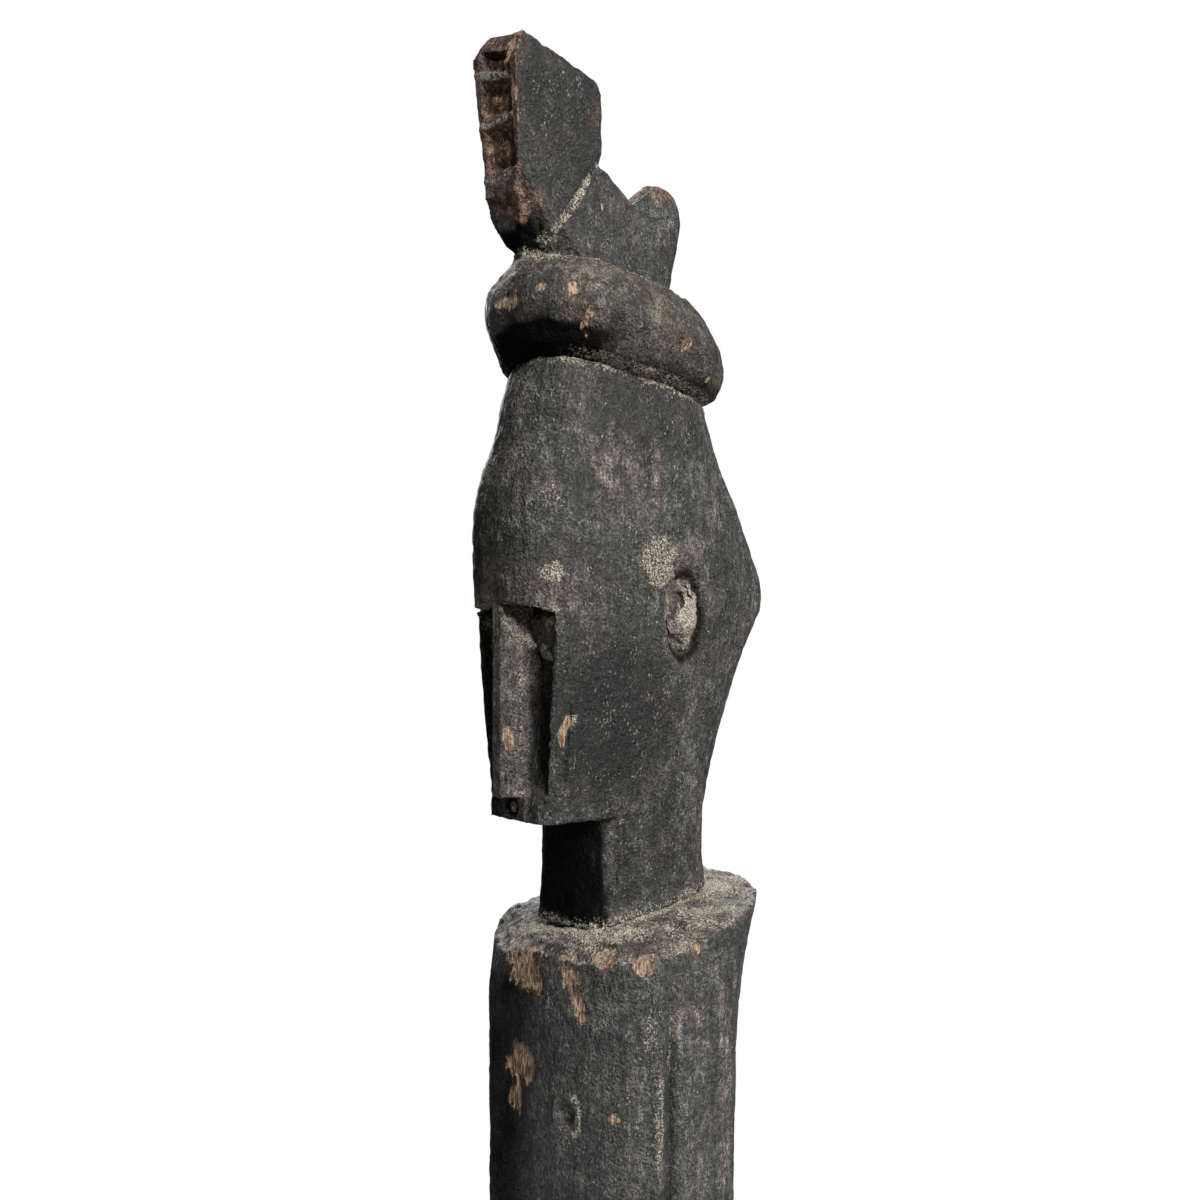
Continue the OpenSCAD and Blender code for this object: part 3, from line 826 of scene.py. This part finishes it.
class Nodes:
    """A short way to write a node tree."""

    def __init__(self, name):
        self.material = bpy.data.materials.new(name)
        self.material.use_nodes = True
        self.tree = self.material.node_tree
        self.tree.nodes.clear()
        self.where = self.add("ShaderNodeTexCoord").outputs["Object"]

    def add(self, kind, **values):
        node = self.tree.nodes.new(kind)
        for key, value in values.items():
            if hasattr(node, key):
                setattr(node, key, value)
            else:
                self.set(node.inputs[key.replace("_", " ")], value)
        return node

    def set(self, socket, value):
        if isinstance(value, bpy.types.NodeSocket):
            self.tree.links.new(value, socket)
        else:
            socket.default_value = value

    def channel(self, name):
        return self.add("ShaderNodeAttribute", attribute_name=name).outputs["Fac"]

    def noise(self, size, detail=3.0, stretch=1.0, rough=0.6):
        """Noise whose features are size mm across, and stretch times as long along Z."""
        mapped = self.add("ShaderNodeMapping", Vector=self.where, Scale=(1, 1, 1 / stretch))
        node = self.add(
            "ShaderNodeTexNoise",
            Vector=mapped.outputs[0],
            Scale=1 / (size * MM),
            Detail=detail,
            Roughness=rough,
        )
        return node.outputs["Fac"]

    def math(self, operation, a, b=0.0, clamp=False):
        node = self.add("ShaderNodeMath", operation=operation, use_clamp=clamp)
        self.set(node.inputs[0], a)
        self.set(node.inputs[1], b)
        return node.outputs[0]

    def fit(self, value, low, high, out_low=0.0, out_high=1.0):
        node = self.add("ShaderNodeMapRange", interpolation_type="SMOOTHSTEP")
        for socket, given in zip(node.inputs[:5], (value, low, high, out_low, out_high)):
            self.set(socket, given)
        return node.outputs[0]

    def scaled(self, colour, factor):
        node = self.add("ShaderNodeVectorMath", operation="SCALE")
        self.set(node.inputs[0], colour)
        self.set(node.inputs["Scale"], factor)
        return node.outputs[0]

    def mix(self, share, a, b):
        node = self.add("ShaderNodeMix", data_type="RGBA")
        self.set(node.inputs[0], share)
        self.set(node.inputs[6], a if isinstance(a, bpy.types.NodeSocket) else (*a, 1))
        self.set(node.inputs[7], b if isinstance(b, bpy.types.NodeSocket) else (*b, 1))
        return node.outputs[2]


def wood(name, dark, brown, worn, haze, gloss, specks_and_glints):
    """Smoke-blackened wood: patina, haze, worn places, chips, dust, cracks, painted shade and their relief.
    """
    n = Nodes(name)
    chip, dust, wear = n.channel("chip"), n.channel("dust"), n.channel("wear")
    painted_shade, crack_and_shade, red, tone = n.channel("painted_shade"), n.channel("crack_and_shade"), n.channel("red"), n.channel("tone")
    cloud = n.noise(18, 3)
    mottle = n.noise(3.2, 5)
    fine = n.noise(0.9, 3)
    streak = n.noise(1.5, 4, 4)
    long_streak = n.noise(2.4, 3, 16)
    broad_streak = n.noise(6.0, 3, 3.5)
    grit = n.noise(0.55, 2)
    patch = n.noise(10, 4)

    colour = n.mix(n.fit(cloud, 0.42, 0.6), dark, brown)
    rubbed = n.math("ADD", wear, n.math("MULTIPLY", n.math("SUBTRACT", broad_streak, 0.5), 1.5))
    colour = n.mix(n.fit(rubbed, 0.25, 0.85), colour, worn)
    hazy = n.math("MULTIPLY", n.fit(broad_streak, 0.46, 0.64), n.fit(grit, 0.46, 0.64))
    colour = n.mix(n.math("MULTIPLY", hazy, haze), colour, (0.15, 0.146, 0.13))
    shade = n.fit(streak, 0.34, 0.68, 0.75, 1.3)
    shade = n.math("MULTIPLY", shade, n.fit(long_streak, 0.32, 0.7, 0.85, 1.15))
    shade = n.math("MULTIPLY", shade, n.fit(patch, 0.36, 0.64, 0.7, 1.35))
    shade = n.math("MULTIPLY", shade, n.fit(mottle, 0.34, 0.66, 0.55, 1.5))
    shade = n.math("MULTIPLY", shade, n.fit(fine, 0.34, 0.66, 0.3, 1.9))
    shade = n.math("MULTIPLY", shade, n.fit(tone, 0.0, 1.0, 0.1, 1.9))
    # Painted shade: this channel darkens the colour nearly to black.
    shade = n.math("MULTIPLY", shade, n.fit(painted_shade, 0.0, 1.0, 1.0, 0.04))
    colour = n.scaled(colour, shade)
    cells = n.mix(n.fit(mottle, 0.42, 0.6), (0.07, 0.034, 0.02), (0.31, 0.19, 0.115))
    colour = n.mix(red, colour, n.scaled(cells, n.fit(fine, 0.34, 0.66, 0.4, 1.6)))

    # Pale specks of grit, partly painted glints; they fade where painted shade lies.
    grit_and_glint_spots = n.fit(n.noise(0.8, 2, 1.7), 0.6, 0.66)
    scattered = n.math("MULTIPLY", grit_and_glint_spots, n.fit(n.noise(7, 4), 0.46, 0.62, 0.12, 1.0))
    scattered = n.math("MULTIPLY", scattered, n.fit(painted_shade, 0.0, 0.8, specks_and_glints, 0.0))
    colour = n.mix(scattered, colour, (0.36, 0.34, 0.3))

    torn = n.math("ADD", chip, n.math("MULTIPLY", n.math("SUBTRACT", n.noise(1.8, 4, 2.2), 0.5), 0.5))
    torn_mask = n.fit(torn, 0.5, 0.54)
    # A dark rim painted round each chip: painted shadow at its broken edge.
    rim = n.math("SUBTRACT", n.fit(torn, 0.42, 0.5), torn_mask)
    fibre = n.noise(0.9, 4, 6)
    bare = n.mix(n.fit(fibre, 0.38, 0.6), (0.13, 0.075, 0.043), (0.5, 0.35, 0.235))
    bare = n.mix(n.math("MULTIPLY", n.fit(mottle, 0.54, 0.64), 0.7), bare, (0.06, 0.04, 0.03))
    colour = n.mix(n.math("MULTIPLY", rim, 0.6, True), colour, (0.04, 0.024, 0.018))
    colour = n.mix(torn_mask, colour, bare)

    flecks = n.math("MULTIPLY", n.math("SUBTRACT", n.noise(1.1, 4, rough=0.75), 0.5), 3.4)
    dust_mask = n.fit(n.math("ADD", dust, flecks), 0.38, 0.8)
    powder = n.mix(n.fit(grit, 0.38, 0.62), (0.1, 0.083, 0.062), (0.6, 0.54, 0.43))
    dust_mask = n.math("MULTIPLY", dust_mask, n.fit(dust, 0.05, 0.3))
    colour = n.mix(n.math("MULTIPLY", dust_mask, 0.85), colour, powder)
    # Cracks are painted near black, and so are the ear's holes and pits, where this is painted shade.
    colour = n.mix(n.math("MULTIPLY", crack_and_shade, 0.92), colour, (0.004, 0.0035, 0.003))

    rough = n.fit(mottle, 0.35, 0.65, 0.66 - 0.36 * gloss, 0.86 - 0.3 * gloss)
    matt = n.math("MAXIMUM", dust_mask, torn_mask)
    rough = n.math("MAXIMUM", rough, n.math("MULTIPLY", matt, 0.93))

    relief = n.math("ADD", n.fit(mottle, 0.3, 0.7, 0, 0.7), n.fit(fine, 0.3, 0.7, 0, 0.5))
    relief = n.math("ADD", relief, n.fit(streak, 0.3, 0.7, 0, 0.4))
    relief = n.math("ADD", relief, n.math("MULTIPLY", n.math("MULTIPLY", fibre, torn_mask), 2.2))
    relief = n.math("ADD", relief, n.math("MULTIPLY", n.math("MULTIPLY", grit, dust_mask), 1.3))
    relief = n.math("SUBTRACT", relief, n.math("MULTIPLY", torn_mask, 0.8))
    bump = n.add("ShaderNodeBump", Strength=1.0, Distance=0.0007, Height=relief)

    surface = n.add("ShaderNodeBsdfPrincipled")
    n.set(surface.inputs["Base Color"], colour)
    n.set(surface.inputs["Roughness"], rough)
    n.set(surface.inputs["Normal"], bump.outputs[0])
    # Painted shade also dulls the specular level.
    n.set(surface.inputs["Specular IOR Level"], n.fit(painted_shade, 0.0, 1.0, 0.45, 0.06))
    output = n.add("ShaderNodeOutputMaterial")
    n.set(output.inputs["Surface"], surface.outputs[0])
    return n.material


GREEN_BLACK = (0.024, 0.0255, 0.021)
BROWN_BLACK = (0.044, 0.037, 0.033)
WORN = (0.08, 0.062, 0.053)
RED_WORN = (0.1, 0.058, 0.042)
DRY = (0.09, 0.068, 0.05)
# Colours of the patina where it is dark, brown and worn, then haze, gloss and pale specks, partly painted
# glints.
LOOKS = {
    "trunk_wood": ((0.028, 0.028, 0.0265), (0.038, 0.036, 0.034), WORN, 0.45, 0.6, 0.6),
    "head_wood": (GREEN_BLACK, BROWN_BLACK, WORN, 0.5, 0.7, 0.7),
    "nose_wood": (BROWN_BLACK, (0.08, 0.068, 0.056), RED_WORN, 0.7, 1.1, 0.4),
    "ear_wood": ((0.07, 0.05, 0.04), (0.12, 0.085, 0.065), WORN, 0.6, 0.1, 0.7),
    "headband_wood": ((0.028, 0.025, 0.022), (0.056, 0.045, 0.034), DRY, 0.5, 0.6, 0.6),
    "crest_wood": (GREEN_BLACK, BROWN_BLACK, RED_WORN, 0.5, 0.6, 0.6),
}
MATERIAL = {slot: wood(slot, *look) for slot, look in LOOKS.items()}

carve_body()
carve_head()
carve_nose()
carve_ears()
carve_headband()
carve_crest()
carve_plinth()


# ---------------------------------------------------------------- stage, light and camera


def stage_floor():
    """A plain pale disc under the figure. Its edge can show in views from the front and sides."""
    bm = bmesh.new()
    bmesh.ops.create_circle(bm, cap_ends=True, segments=96, radius=0.6)
    mesh = bpy.data.meshes.new("floor")
    bm.to_mesh(mesh)
    bm.free()
    pale = bpy.data.materials.new("floor")
    pale.use_nodes = True
    surface = pale.node_tree.nodes["Principled BSDF"]
    surface.inputs["Base Color"].default_value = (0.72, 0.72, 0.72, 1)
    surface.inputs["Roughness"].default_value = 0.9
    mesh.materials.append(pale)
    floor = bpy.data.objects.new("floor", mesh)
    bpy.context.scene.collection.objects.link(floor)


def soft_box(name, place, aim, size, watts):
    """A rectangular lamp that faces aim."""
    data = bpy.data.lights.new(name, "AREA")
    data.shape = "RECTANGLE"
    data.size, data.size_y = size
    data.energy = watts
    lamp = bpy.data.objects.new(name, data)
    bpy.context.scene.collection.objects.link(lamp)
    lamp.location = place
    lamp.rotation_euler = (Vector(aim) - Vector(place)).to_track_quat("-Z", "Y").to_euler()


def white_studio():
    """A white surround as the camera sees it, and a dim one as light."""
    world = bpy.data.worlds.new("studio")
    bpy.context.scene.world = world
    world.use_nodes = True
    tree = world.node_tree
    tree.nodes.clear()
    path = tree.nodes.new("ShaderNodeLightPath")
    seen, light = tree.nodes.new("ShaderNodeBackground"), tree.nodes.new("ShaderNodeBackground")
    seen.inputs["Color"].default_value = (1, 1, 1, 1)
    light.inputs["Color"].default_value = (1, 1, 1, 1)
    light.inputs["Strength"].default_value = 0.05
    mix, out = tree.nodes.new("ShaderNodeMixShader"), tree.nodes.new("ShaderNodeOutputWorld")
    tree.links.new(path.outputs["Is Camera Ray"], mix.inputs[0])
    tree.links.new(light.outputs[0], mix.inputs[1])
    tree.links.new(seen.outputs[0], mix.inputs[2])
    tree.links.new(mix.outputs[0], out.inputs[0])


stage_floor()
white_studio()
AIM = (0, 0, 0.66)
soft_box("key", (1.9, -0.45, 2.2), AIM, (1.1, 1.1), 119)
soft_box("fill", (-1.8, 0.9, 1.5), AIM, (1.2, 1.2), 50)
soft_box("side", (1.1, 0.9, 0.9), AIM, (0.5, 1.0), 9)

# The photographer's view: level, at the height of the ears, 50 degrees round from the front.
AZIMUTH = math.radians(50)
RIGHTWARD = Vector((math.cos(AZIMUTH), math.sin(AZIMUTH), 0))
TOWARD = Vector((math.sin(AZIMUTH), -math.cos(AZIMUTH), 0))
EYE_DISTANCE, EYE_SHIFT, EYE_HEIGHT = 0.52, 0.0088, 0.651
eye = TOWARD * EYE_DISTANCE - RIGHTWARD * EYE_SHIFT + Vector((0, 0, EYE_HEIGHT))
camera = bpy.data.objects.new("camera", bpy.data.cameras.new("camera"))
bpy.context.scene.collection.objects.link(camera)
camera.data.lens = 39
camera.data.sensor_width = 36
camera.data.clip_start = 0.01
camera.matrix_world = Matrix.Translation(eye) @ (-TOWARD).to_track_quat("-Z", "Y").to_matrix().to_4x4()
bpy.context.scene.camera = camera
bpy.context.scene.view_settings.view_transform = "Standard"
